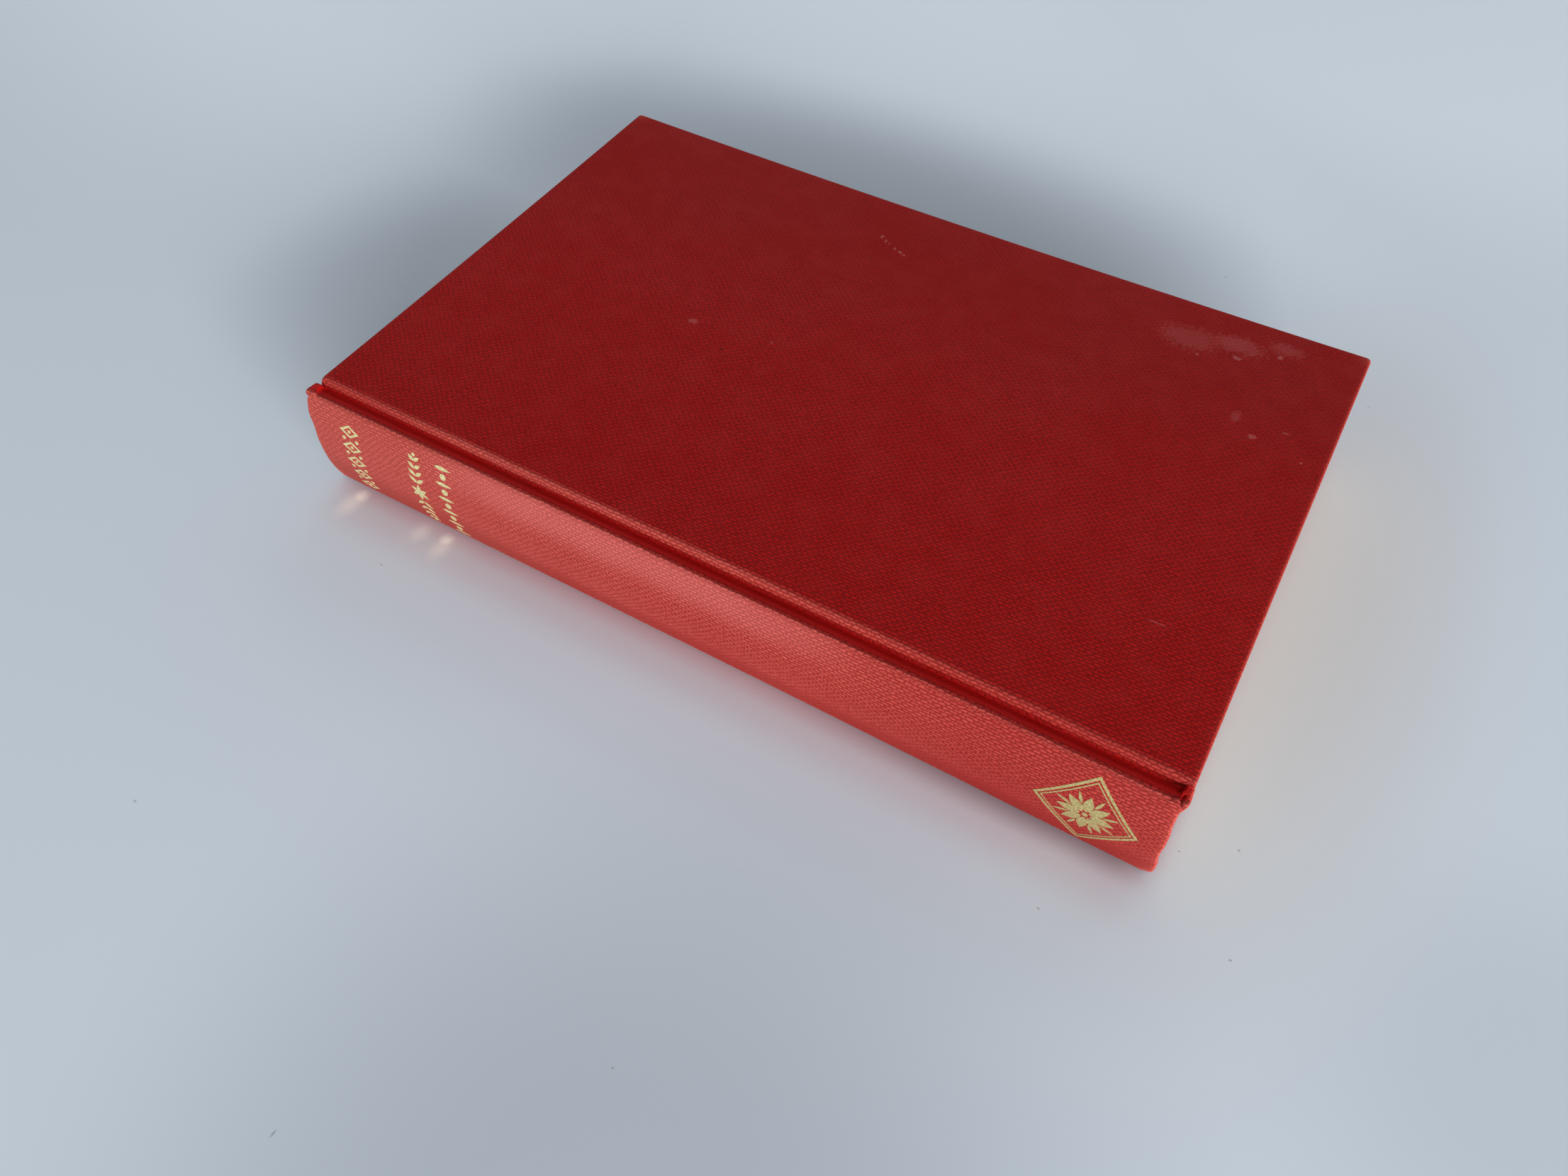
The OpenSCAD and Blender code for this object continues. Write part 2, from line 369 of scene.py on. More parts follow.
def cloth_material(name, pale=(), dark=()):
    """Red book cloth with an embossed grain, pale where it is rubbed. Painted sheen lightens it
    where it faces the light, painted light lifts the groove and painted shade darkens the tail
    """
    t = new_material(name)
    flat, place = t.flat(), t.place()
    beads = bead_height(t, flat)
    fine = t.noise(flat, 0.25, detail=3.0)
    broad = t.noise(place, 0.03, detail=3.0)
    patches = t.noise(place, 0.006, detail=3.0)
    wear, grain, fade_and_sheen = (t.node("Attribute", output=2, attribute_name=look) for look in LOOKS)
    raised = t.product(t.ramp(beads, 0.1, 0.8), t.ramp(grain, 0.0, 0.6))
    deep, faded_and_sheen = (
        t.mix(raised, *(srgb(*tone) for tone in reds)) for reds in (DEEP_RED, FADED_AND_SHEEN_RED)
    )
    colour = t.mix(fade_and_sheen, deep, faded_and_sheen)
    x = t.split(place)[0]
    for share, tone in (
        (t.ramp(fade_and_sheen, 0.0, -1.0, 0.0, 0.75), FIRST_RED_WITH_PAINTED_LIGHT),
        (t.ramp(fade_and_sheen, 1.0, 2.0, 0.0, 0.7), PAINTED_SHEEN_RED),
        (t.ramp(broad, 0.3, 0.7, 0.0, 0.25), STAINED_RED),
        (t.ramp(patches, 0.35, 0.75, 0.0, 0.1), PATCHY_RED),
        (t.product(t.ramp(x, -0.01, -0.1, 0.05, 0.22), fade_and_sheen), HEAD_RED),
        (t.product(t.ramp(x, 0.02, 0.08, 0.0, 0.22), fade_and_sheen), TAIL_SHADE_RED),
        (t.product(wear, t.ramp(t.noise(flat, 0.5, detail=4.0), 0.15, 0.85)), RUBBED_RED),
    ):
        colour = t.mix(share, colour, srgb(*tone))
    if pale:
        colour = t.mix(spots(t, flat, pale), colour, srgb(*PALE_MARK))
        colour = t.mix(spots(t, flat, dark), colour, srgb(*DARK_MARK))
    height = t.product(beads, grain, BEAD_DEPTH)
    height = t.math("ADD", height, t.product(fine, 0.012))
    return t.finish(
        Base_Color=colour,
        Roughness=t.ramp(broad, 0.3, 0.7, 0.6, 0.68),
        Specular_IOR_Level=0.09,
        Normal=t.bump(height, MM),
    )


# From the spine's seam across the joint to the board's flat. Each row holds the skin at mid-length,
# at the head and at the tail, the underside of the turned-in fold, and how far the ends reach.
# A point is (u, v), with v from the cover's face
JOINT = [
    ((-5.30, -1.60), (-5.36, -1.55), (-5.36, -1.55), (-4.85, -1.75), 101.90),
    ((-5.44, -1.27), (-5.56, -1.06), (-5.54, -1.12), (-4.92, -1.47), 102.00),
    ((-5.38, -0.94), (-5.56, -0.50), (-5.48, -0.68), (-4.86, -1.24), 102.10),
    ((-5.06, -0.71), (-5.20, -0.14), (-5.10, -0.46), (-4.66, -1.12), 102.20),
    ((-4.60, -0.68), (-4.62, -0.06), (-4.60, -0.40), (-4.38, -1.14), 102.26),
    ((-4.00, -0.84), (-3.95, -0.08), (-3.95, -0.46), (-3.80, -1.36), 102.28),
    ((-3.30, -1.16), (-3.25, -0.12), (-3.25, -0.56), (-3.10, -1.76), 102.28),
    ((-2.60, -1.62), (-2.55, -0.18), (-2.55, -0.66), (-2.42, -2.30), 102.26),
    ((-2.08, -1.98), (-1.98, -0.40), (-1.95, -0.76), (-1.98, -2.80), 102.24),
    ((-1.65, -2.14), (-1.58, -1.05), (-1.55, -0.82), (-1.60, -3.02), 102.22),
    ((-1.24, -2.02), (-1.20, -1.75), (-1.18, -0.78), (-1.22, -3.10), 102.18),
    ((-0.98, -1.60), (-0.96, -1.60), (-0.94, -0.68), (-0.96, -3.10), 102.12),
    ((-0.78, -0.98), (-0.78, -0.98), (-0.76, -0.54), (-0.77, -3.10), 102.06),
    ((-0.48, -0.42), (-0.48, -0.42), (-0.48, -0.36), (-0.48, -3.10), 102.02),
    ((-0.05, -0.10), (-0.05, -0.10), (-0.05, -0.12), (-0.05, -3.10), 102.00),
    ((0.80, 0.00), (0.80, 0.00), (0.80, 0.00), (0.80, -3.10), 102.00),
]
# The book stands on its back ridge, which is flattened and follows the spine's curve. It is the
# same at mid-length, head and tail
BACK_RIDGE = [
    (skin, skin, skin, under, reach)
    for skin, under, reach in (
        ((-5.385, -1.60), (-4.85, -1.75), 101.50),
        ((-5.26, -1.25), (-4.84, -1.55), 101.60),
        ((-5.02, -0.96), (-4.74, -1.34), 101.70),
        ((-4.72, -0.80), (-4.56, -1.22), 101.80),
        ((-4.38, -0.76), (-4.32, -1.20), 101.86),
    )
]


def joint_rows(side):
    """The rows across the front or the back joint"""
    return JOINT if side > 0 else BACK_RIDGE + JOINT[len(BACK_RIDGE) :]


# How far short of the head and tail the pressed groove stops, how much more for each mm towards
# the spine, and over what length it ends
LEDGE = 1.75
LEDGE_SLANT = 0.38
LEDGE_WIDTH = 0.6


def fold_path(depth):
    """Stations round a folded edge: how far out and how deep they are, and their flat distance"""
    radius = fold_radius(depth)
    quarter = np.radians([22.5, 45, 67.5, 90])
    drop = depth - 2 * radius
    ones = np.ones_like(radius)
    stations = [(radius * math.sin(a), radius * (1 - math.cos(a))) for a in quarter]
    stations += [(radius, radius + drop * part) for part in (1 / 3, 2 / 3, 1)]
    stations += [(radius * math.cos(a), radius + drop + radius * math.sin(a)) for a in quarter]
    stations += [(-inward * ones, depth) for inward in (0.4, 1.2, 3.5, 8.0, TURN_IN - EDGE_R)]
    out = np.array([o * ones for o, d in stations])
    deep = np.array([d * ones for o, d in stations])
    steps = np.hypot(np.diff(out, axis=0, prepend=0), np.diff(deep, axis=0, prepend=0))
    return out, deep, np.cumsum(steps, axis=0)


def fold_radius(depth):
    """The folded edge's radius where the turned-in cloth lies that deep"""
    return np.minimum(depth * 0.42, EDGE_R)


def near_edge(distance):
    """1 within 2 mm of an edge and 0 far inside it, for points that follow the turned-in cloth"""
    return np.clip((distance + 45) / 43, 0, 1)


def round_corner(x, u):
    """Rounds the board's square corners in plan"""
    a, b = half_x - np.abs(x), fore_u - u
    inside = (a < CORNER_R) & (b < CORNER_R)
    near = np.minimum(a, b)
    reach = CORNER_R - near
    turn = np.where(reach > 1e-9, (CORNER_R - np.maximum(a, b)) / np.maximum(reach, 1e-9), 0)
    turn = turn * math.pi / 4
    far_side, near_side = CORNER_R - reach * np.sin(turn), CORNER_R - reach * np.cos(turn)
    new_a = np.where(a < b, near_side, far_side)
    new_b = np.where(a < b, far_side, near_side)
    new_x = np.sign(x) * (half_x - new_a)
    return np.where(inside, new_x, x), np.where(inside, fore_u - new_b, u)


def bow(x, u, amount):
    """How far a bowed board stands above its flat form"""
    across = np.clip(u / fore_u, 0, 1)
    return amount * (x / half_x) ** 2 * across**2


def settle(points, amount):
    """Rounds the corners and bows the board, for points (x, u, v)"""
    x, u, v = np.moveaxis(points, -1, 0)
    x, u = round_corner(x, u)
    return coords(x, u, v + bow(x, u, amount))


def sag(x, depth):
    """How much lower the foot of the spine lies towards the tail, for a depth from 0 to 1"""
    return 0.5 * smooth(x / half_x) * smooth(depth)


def spine_sag(x, v):
    """The same for points on the spine's arc"""
    return sag(x, (-6 - v) / 6)


def cover_columns(side):
    """The columns of a cover's cloth: its skin at mid-length, head and tail, underside and reach"""
    joint = joint_rows(side)
    *lines, under = (curve([row[k] for row in joint], 4) for k in range(4))
    reach = curve([(row[4], 0) for row in joint], 4)[:, 0]
    first = joint[-1][0][0]
    flat = first + graded(fore_u - EDGE_R - first, 0.3, 0.15, 4.0)[1:]
    top = coords(flat, 0)
    lines = [np.vstack([line, top]) + (0, cover_v) for line in lines]
    under = np.vstack([under, top - (0, cover_t)]) + (0, cover_v)
    return lines, under, np.append(reach, np.full(len(flat), half_x))


# Stations along the book between its folded edges, close together near head and tail
ROWS = graded(2 * (half_x - EDGE_R), 0.12, 0.12, 3.0, growth=0.05) - (half_x - EDGE_R)


# Creases pressed into the cloth near the tail of the joint: from (x, u) to (x, u), depth and width
CREASES = [
    ((100.20, -3.90), (100.00, -2.60), 0.75, 0.24),
    ((100.00, -2.60), (100.45, -1.30), 0.90, 0.28),
    ((101.05, -5.55), (100.75, -4.60), 0.50, 0.20),
    ((100.75, -4.60), (101.05, -3.30), 0.70, 0.24),
    ((99.95, -5.60), (99.70, -4.70), 0.14, 0.14),
    ((99.55, -5.60), (99.35, -4.80), 0.12, 0.14),
]


def crease_depth(x, u):
    """How deep the creases are at each point"""
    depth = np.zeros_like(x)
    for (x0, u0), (x1, u1), deep, width in CREASES:
        part = ((x - x0) * (x1 - x0) + (u - u0) * (u1 - u0)) / ((x1 - x0) ** 2 + (u1 - u0) ** 2)
        part = np.clip(part, 0, 1)
        away = np.hypot(x - x0 - part * (x1 - x0), u - u0 - part * (u1 - u0))
        depth = np.maximum(depth, deep * np.exp(-((away / width) ** 2)))
    return depth


def mix_ends(lines, top_x, reach):
    """The skin's rows: the line at mid-length, and the head's or the tail's past the ledge"""
    mid, head, tail = lines
    from_end = np.where(top_x < 0, *reach) - np.abs(top_x)
    ledge = LEDGE + LEDGE_SLANT * np.clip(-2 - mid[:, 0], 0, 3)
    ending = smooth((ledge + LEDGE_WIDTH / 2 - from_end) / LEDGE_WIDTH)[..., None]
    end = np.where(top_x[..., None] < 0, head, tail)
    return mid * (1 - ending) + end * ending


def arc_length(points):
    """How far along their line the points lie"""
    steps = np.linalg.norm(np.diff(points, axis=0), axis=1)
    return np.concatenate([[0], np.cumsum(steps)])


def folded_rows(lines, under, reach, creased=False):
    """Rows of points (x, u, v) from the head's turn-in over the skin to the tail's turn-in"""
    depths = [np.linalg.norm(under - end, axis=1) for end in lines[1:]]
    tops = [far - fold_radius(depth) for far, depth in zip(reach, depths)]
    rows = ROWS[:, None]
    top_x = np.where(rows < 0, *tops) * rows / rows[-1]
    skin = mix_ends(lines, top_x, reach)
    if creased:
        skin[..., 1] -= crease_depth(top_x, skin[..., 0])
    folds = []
    for side, end, top, depth in zip((-1, 1), lines[1:], tops, depths):
        out, deep, travel = fold_path(depth)
        across = end + (under - end) / depth[:, None] * deep[..., None]
        folds.append(np.concatenate([(side * (top + out))[..., None], across], 2))
    middle = np.concatenate([top_x[..., None], skin], 2)
    flat = np.concatenate([rows[0] - travel[::-1], rows + 0 * top_x, rows[-1] + travel])
    return np.concatenate([folds[0][::-1], middle, folds[1]]), flat


def cover_cloth(side, amount):
    """The cloth of one cover: over the joint and the board, round three edges and turned in"""
    lines, under, reach = cover_columns(side)
    if side < 0:
        reach = reach - worn_corner(lines[0])
    reach = (reach, reach)
    mid = lines[0]
    points, flat_rows = folded_rows(lines, under, reach, creased=side > 0)
    if side < 0:
        points[..., 2] += sag(points[..., 0], (-3.4 - mid[:, 0]) / 1.2)

    # The fore edge's turn-in shares its first column and its mitred corners with those rows
    fore_out, fore_deep, fore_travel = (a[:, 0] for a in fold_path(np.array([cover_t])))
    folds = len(fore_out)
    last = mid[-1, 0]
    fold_out = np.concatenate([fore_out[::-1], np.zeros(len(ROWS)), fore_out])
    points[..., 1] += fold_out[:, None] * near_edge(mid[:, 0] - last)
    rows = ROWS[:, None]
    fore_x = rows + np.sign(rows) * fore_out * near_edge(np.abs(rows) - rows[-1])
    fore = coords(fore_x, last + fore_out, cover_v - fore_deep)[1:-1]

    cloth = Surface()
    main, inner = (
        cloth.add(settle(p, amount), wear_of(p), grain_of(p), fade_of(p)) for p in (points, fore)
    )
    stop = folds + len(ROWS)
    middle = np.concatenate([main[folds + 1 : stop - 1, -1:], inner], 1)
    head = main[: folds + 1, -1][::-1][None]
    tail = main[stop - 1 :, -1][None]
    flat_u = arc_length(mid)
    cloth.patch(main, coords(flat_rows, flat_u))
    fore_flat = coords(rows, flat_u[-1] + np.append(0, fore_travel))
    cloth.patch(np.concatenate([head, middle, tail]), fore_flat)
    return cloth.shell(cloth_t)


def worn_corner(line):
    """How much of the foot of the spine is rubbed away at head and tail, for points (u, v)"""
    return 0.8 * smooth((-3.6 - line[..., 0]) / 1.7)


def wear_of(points):
    """How rubbed the cloth is: most along the folded edges, at the corners and at the tail"""
    x, u, v = np.moveaxis(points, -1, 0)
    end = np.exp(-(half_x - np.abs(x)) / 0.35) * np.where(x > 0, 0.8, 0.35)
    fore = np.exp(-np.abs(fore_u - u) / 0.35) * 0.5
    corner = np.exp(-np.hypot(half_x - np.abs(x), fore_u - u) / 1.5) * 0.9
    low = np.where(v < cover_v - 1.2, 0.5, 1.0)
    return np.clip((end + fore + corner) * low, 0, 1)


def grain_of(points):
    """How strong the grain is on a cover: full on the joint, pressed nearly flat on the board"""
    flat = 0.5 - 0.2 * smooth((points[..., 1] - 50) / 60)
    return flat + (1 - flat) * smooth((1.5 - points[..., 1]) / 2.2)


def fade_of(points):
    """How faded the cloth is on a cover, with painted sheen: on the ridge, and as a painted
    highlight on the crest of the board's edge. In the groove it is below 0, where the first red is
    painted lighter
    """
    x, u = points[..., 0], points[..., 1]
    ridge = smooth((-4.2 - u) / 1.0)
    # Painted highlight along the crest of the board's edge, less towards head and tail
    crest_highlight = 0.8 - 0.3 * smooth((-50 - x) / 45) - 0.15 * smooth((x - 30) / 50)
    crest_highlight *= smooth((u + 1.2) / 0.6) * smooth((1.0 - u) / 1.2)
    # Below 0 in the groove: the first red, painted lighter to lift its shade
    kept_with_painted_light = smooth((u + 4.15) / 0.3) * smooth((-0.9 - u) / 0.5)
    return np.maximum(0.95 * ridge, crest_highlight) * (1 + painted_sheen_of(x)) - kept_with_painted_light


def painted_sheen_of(x):
    """How much painted sheen lightens the upper edge of the spine, about its middle"""
    return 0.46 * smooth((x + 85) / 45) * smooth((62 - x) / 50)


def on_arc(angle, radius):
    """Points (u, v) at those angles and radii of the spine's arc"""
    return coords(arc_u - radius * np.cos(angle), radius * np.sin(angle))


def spine_cloth_shell():
    """The cloth over the spine card, turned in at head and tail"""
    seams = [np.array(joint_rows(side)[0][:4]) + (0, cover_v) for side in (1, -1)]
    limits = [math.atan2(v, arc_u - u) for (u, v), *_ in seams]
    dips = [spine_r - math.hypot(v, arc_u - u) for (u, v), *_ in seams]
    distance = graded(sum(limits) * spine_r, 0.12, 0.12, 0.55)
    angle = limits[0] - distance / spine_r
    front = angle > 0
    to_seam = np.minimum(distance, distance[-1] - distance)
    dip = np.where(front, *dips) * np.exp(-((to_seam / 0.45) ** 2))
    skin = on_arc(angle, spine_r - dip)
    near = smooth(1 - to_seam / 1.5)[:, None]
    steps = [np.where(front[:, None], *(s[k] - s[0] for s in seams)) for k in (1, 2, 3)]
    head, tail, inner = (step * np.where(front, 1, -1)[:, None] ** [0, 1] * near for step in steps)
    lines = [skin, skin + head, skin + tail]
    under = on_arc(angle, spine_r - CARD_FOLD) * (1 - near) + skin * near + inner
    near = near[:, 0]
    seam_reach = np.where(front, JOINT[0][4], BACK_RIDGE[0][4] - worn_corner(seams[1][0]))
    waver = ripple(distance, (0.05, 9.0, 0.4), (0.03, 3.7, 1.0))
    head_cap = 0.95 * smooth((8.5 - distance) / 4.0)
    tail_cap = 0.45 * smooth((distance - 3.0) / 6.0) + 0.6 * smooth((distance - 14.0) / 8.0)
    caps = (CAP_REACH + head_cap + waver, CAP_REACH + tail_cap + waver)
    reach = [cap + (seam_reach - cap) * near for cap in caps]
    points, flat_rows = folded_rows(lines, under, reach)
    points[..., 2] -= spine_sag(points[..., 0], skin[:, 1])
    cloth = Surface()
    x, v = points[..., 0], points[..., 2]
    grain = (0.25 + 0.75 * smooth((v + 9) / 9)) * (1 - 0.4 * smooth((-20 - x) / 45))
    # Painted sheen: lighter high on the spine about its middle, and less towards the tail
    fade_and_sheen = 1 + painted_sheen_of(x) * smooth((v - 1) / 9) - 0.3 * smooth((x - 20) / 50)
    numbers = cloth.add(points, cap_wear(points, reach), grain, fade_and_sheen)
    flat_u = (angle - angle[0]) * spine_r
    cloth.patch(numbers[:, ::-1], coords(flat_rows, flat_u)[:, ::-1])
    return cloth.shell(cloth_t)


def cap_wear(points, reach):
    """How rubbed the spine's cloth is: along its head and tail, and most at the foot"""
    x, u, v = np.moveaxis(points, -1, 0)
    away = np.abs(np.where(x < 0, *reach) - np.abs(x))
    end = np.exp(-away / 0.5) * np.where(x > 0, 1.0, 0.5)
    foot = np.exp(-np.hypot(away, v + cover_v - 2) / 2.0) * 0.8
    return np.clip(end + foot, 0, 1)


def sheet_grid(rows, line, thickness, amount=0.0, sink=None, step=1):
    """A sheet of even thickness over rows along the book and a line of points (u, v) across it.
    Step -1 turns it over, for a line that runs the other way"""
    points = coords(rows[:, None], *line.T)
    if sink is not None:
        points[..., 2] += sink(points)
    sheet = Surface()
    numbers = sheet.add(settle(points, amount))
    sheet.patch(numbers[:, ::step], coords(rows[:, None], arc_length(line))[:, ::step])
    return sheet.shell(thickness)


def even(start, stop, longest):
    """Even stations from start to stop, at most longest apart"""
    return np.linspace(start, stop, math.ceil(abs(stop - start) / longest) + 1)


# Marks on the front board, as spots() takes them
PALE_MARKS = [
    (-17.0, 111.5, 0.5, 0.9, 0.30), (-15.4, 110.4, 0.5, 0.8, 0.30), (-14.2, 109.8, 0.4, 0.4, 0.20),
    (-12.0, 108.6, 0.5, 0.6, 0.28), (-10.2, 108.0, 0.7, 0.6, 0.30), (-8.8, 107.4, 0.5, 0.5, 0.34),
    (-40.4, 59.0, 1.6, 1.3, 0.18), (-20.4, 61.8, 0.4, 0.8, 0.12),
    (63.0, 113.0, 9.0, 5.5, 0.10), (74.0, 116.0, 8.0, 4.0, 0.12), (84.0, 120.0, 5.0, 3.0, 0.10),
    (66.5, 108.2, 0.5, 0.4, 0.35), (75.0, 111.5, 1.4, 0.8, 0.25), (83.6, 116.6, 0.8, 1.0, 0.25),
    (85.3, 88.1, 1.2, 1.0, 0.26), (91.5, 92.6, 0.9, 0.5, 0.20), (96.7, 85.4, 0.5, 0.4, 0.32),
    (84.3, 29.3, 2.6, 0.18, 0.25), (80.5, 92.5, 1.5, 2.4, 0.10),
]
DARK_MARKS = [
    (-15.3, 102.0, 0.45, 0.35, 0.55), (-17.5, 64.2, 0.5, 0.35, 0.6), (-29.2, 53.8, 0.6, 0.5, 0.6),
    (-36.0, 63.1, 0.3, 0.25, 0.45), (-14.2, 73.9, 0.5, 0.35, 0.35), (100.6, 83.0, 0.22, 1.3, 0.5),
]

# Paper, card and thread


def darker(colour, share):
    return (*(c * share for c in colour[:3]), 1.0)


def two_tone(t, height, low, high, tones, depth, roughness, **sockets):
    """Finishes a material whose tone and relief follow one height; the relief is in mm"""
    return t.finish(
        Base_Color=t.mix(t.ramp(height, low, high), *tones), Roughness=roughness,
        Normal=t.bump(height, depth * MM), **sockets,
    )


def paper_material(name, colour):
    """Plain uncoated paper with a faint tone and fibre"""
    t = new_material(name)
    place = t.place()
    tone = t.noise(place, 0.04, detail=4.0)
    fibre = t.noise(place, 0.0006)
    return t.finish(
        Base_Color=t.mix(t.ramp(tone, 0.3, 0.75), colour, darker(colour, 0.95)),
        Roughness=0.85, Specular_IOR_Level=0.3, Normal=t.bump(fibre, 0.05 * MM, 0.25),
    )


def page_edge_material():
    """The cut edges of the leaves: fine lines that follow each leaf, in cream"""
    t = new_material("page_edges")
    flat, place = t.flat(), t.place()
    leaves = t.noise(flat, 0.16, detail=3.0, stretch=(0.002, 1, 1))
    groups = t.noise(flat, 0.9, stretch=(0.006, 1, 1))
    tone = t.noise(place, 0.03, detail=3.0)
    colour = t.mix(t.ramp(leaves, 0.4, 0.6), srgb(186, 164, 126), srgb(238, 226, 200))
    colour = t.mix(t.ramp(groups, 0.5, 0.62, 0.0, 0.3), colour, srgb(196, 174, 138))
    colour = t.mix(t.ramp(tone, 0.4, 0.7, 0.0, 0.3), colour, srgb(222, 204, 168))
    return t.finish(
        Base_Color=colour, Roughness=0.8, Specular_IOR_Level=0.3,
        Normal=t.bump(leaves, 0.06 * MM),
    )


def board_material(name, colour):
    """Grey or tan board with flecks of fibre"""
    t = new_material(name)
    flecks = t.noise(t.place(), 0.0008, detail=4.0)
    return two_tone(t, flecks, 0.35, 0.7, (colour, darker(colour, 0.55)), 0.1, 0.9)


GAUZE_PITCH = 1.1 * MM


def gauze_material():
    """Open cotton gauze soaked in glue, over the backs of the gatherings"""
    t = new_material("lining_gauze_cloth")
    x, _, z = t.split(t.place())
    weave = t.math(
        "MAXIMUM", *(t.math("SINE", t.product(s, math.tau / GAUZE_PITCH)) for s in (x, z))
    )
    tones = srgb(176, 160, 126), srgb(228, 220, 198)
    return two_tone(t, weave, 0.0, 0.8, tones, 0.1, 0.85)


def thread_material():
    """Silky thread wound over the bands"""
    t = new_material("band_thread")
    strands = t.noise(t.flat(), 0.12, stretch=(1, 0.1, 1))
    tones = srgb(214, 202, 172), srgb(240, 232, 210)
    return two_tone(t, strands, 0.3, 0.7, tones, 0.05, 0.5, Sheen_Weight=0.3)


# The pages

# The gatherings and the steps drawn in each, the air under a cover, and the fore edge's hollow
SECTIONS = 12
LEAF_STEPS = 8
COVER_GAP = 0.3
FORE_ROUND = 2.0
paste_v = paste_lo[2] - mid_z
leaf_v = paste_v - COVER_GAP - PAPER_T
page_u = pages_hi[1] - joint_y
page_x = pages_hi[0]
lining_r = arc_u + joint_y - lining_lo[1]
back_r = lining_r - LINING_T
# The shoulder that the backing presses into the first and last leaves, as (u, v)
SHOULDER = [
    (-3.896, 11.683), (-3.58, 11.23), (-3.2, 10.82), (-2.6, 10.46), (-1.78, 10.3), (0, 10.3),
]


def rim(grid):
    """The cells round the edge of a grid, and the first one again"""
    return np.concatenate([grid[0, :-1], grid[:-1, -1], grid[-1, :0:-1], grid[::-1, 0]])


def page_block():
    """The leaves as one solid whose edges step a little from leaf to leaf"""
    rng = np.random.default_rng(7)
    count = SECTIONS * LEAF_STEPS
    share = np.linspace(-1, 1, count + 1)
    leaf_step = rng.normal(0, 0.018, count + 1)
    section_step = np.repeat(rng.normal(0, 0.03, SECTIONS + 1), LEAF_STEPS)[: count + 1]
    relief = leaf_step + section_step
    relief[[0, -1]] = 0
    shoulder = curve(SHOULDER, 6)
    spread = graded(1.0, 0.003, 0.02, 0.05, growth=0.15)
    tip_v = SHOULDER[0][1]
    start = arc_u - np.sqrt(back_r**2 - (share * tip_v) ** 2)
    stop = page_u - FORE_ROUND * (1 - share**2) + relief
    u = start[:, None] + (stop - start)[:, None] * spread
    half = np.interp(u, shoulder[:, 0], shoulder[:, 1], left=tip_v)
    v = share[:, None] * half
    block = Surface()
    caps = []
    for side in (-1, 1):
        points = coords(side * (page_x + relief[:, None] * 0.8 - 0.03), u, v)
        numbers = block.add(points)
        block.patch(numbers[:, ::side], coords(u, share[:, None] * leaf_v)[:, ::side])
        caps.append((points, numbers))
    (head, head_n), (tail, tail_n) = caps
    along = even(0, 1, 0.05)[:, None, None]
    ring = rim(head) * (1 - along) + rim(tail) * along
    inner = block.add(ring[1:-1, :-1])
    inner = np.concatenate([inner, inner[:, :1]], 1)
    numbers = np.concatenate([rim(head_n)[None], inner, rim(tail_n)[None]])
    flat_v = rim(np.broadcast_to((share * leaf_v)[:, None, None], (*u.shape, 1)))[:, 0]
    block.patch(numbers[:, ::-1], coords(ring[..., 0], flat_v)[:, ::-1])
    return block.arrays()


# The pastedown goes from the tip of the leaves' shoulder over the joint to the board, as (u, v)
PASTE_JOINT = [
    (-3.86, 11.80), (-3.74, 11.98), (-3.52, 12.00), (-3.25, 11.70), (-2.85, 11.25),
    (-2.40, 11.02), (-1.80, 10.92), (-1.00, 10.90), (0.00, 10.90),
]
# Width of the lining's flap under it
FLAP_W = 25.0


def turn_in_step(points):
    """How far the pastedown sinks inside the frame of turned-in cloth and past the flap"""
    x, u, v = np.moveaxis(points, -1, 0)
    inside = np.minimum(half_x - TURN_IN - np.abs(x), fore_u - TURN_IN - u)
    return 0.2 * smooth(inside / 1.6) * (0.35 + 0.65 * smooth((u - FLAP_W) / 1.6))


def pastedown(amount):
    """The end paper on the inside of a cover, and over the joint to the leaves"""
    joint = curve(PASTE_JOINT, 9)
    end_u = paste_hi[1] - joint_y
    flat = coords(even(joint[-1, 0], end_u, 1.6)[1:], joint[-1, 1])
    rows = even(paste_lo[0], paste_hi[0], 2.0)
    return sheet_grid(rows, np.vstack([joint, flat]), PAPER_T, amount, turn_in_step)


def board_sheet(amount):
    """A board, with closer points at its rounded corners"""
    rows = even(board_lo[0], board_hi[0], 2.5)
    far = board_hi[1] - joint_y
    u = np.append(even(0, far - 2, 4.0), far - np.arange(5)[::-1] / 3)
    return sheet_grid(rows, coords(u, board_hi[2] - mid_z), board_hi[2] - board_lo[2], amount)


def card_sheet():
    """The card that stiffens the spine"""
    card_r = spine_r - cloth_t
    angle = math.asin((card_hi[2] - mid_z) / card_r)
    line = on_arc(np.linspace(-angle, angle, 40), card_r)[::-1]
    rows = even(-CAP_REACH + 0.7, CAP_REACH - 0.7, 5.0)
    return sheet_grid(rows, line, CARD_T, step=-1)


# The bands' bead across, and the turns of its thread
BAND_D = 1.5
THREAD_PITCH = 0.5


def band_span(side):
    """A band's box, and half the angle that it covers on the back of the pages"""
    box = box_mm("tail_band" if side > 0 else "head_band")
    return box, math.asin((box[1][2] - mid_z) / lining_r)


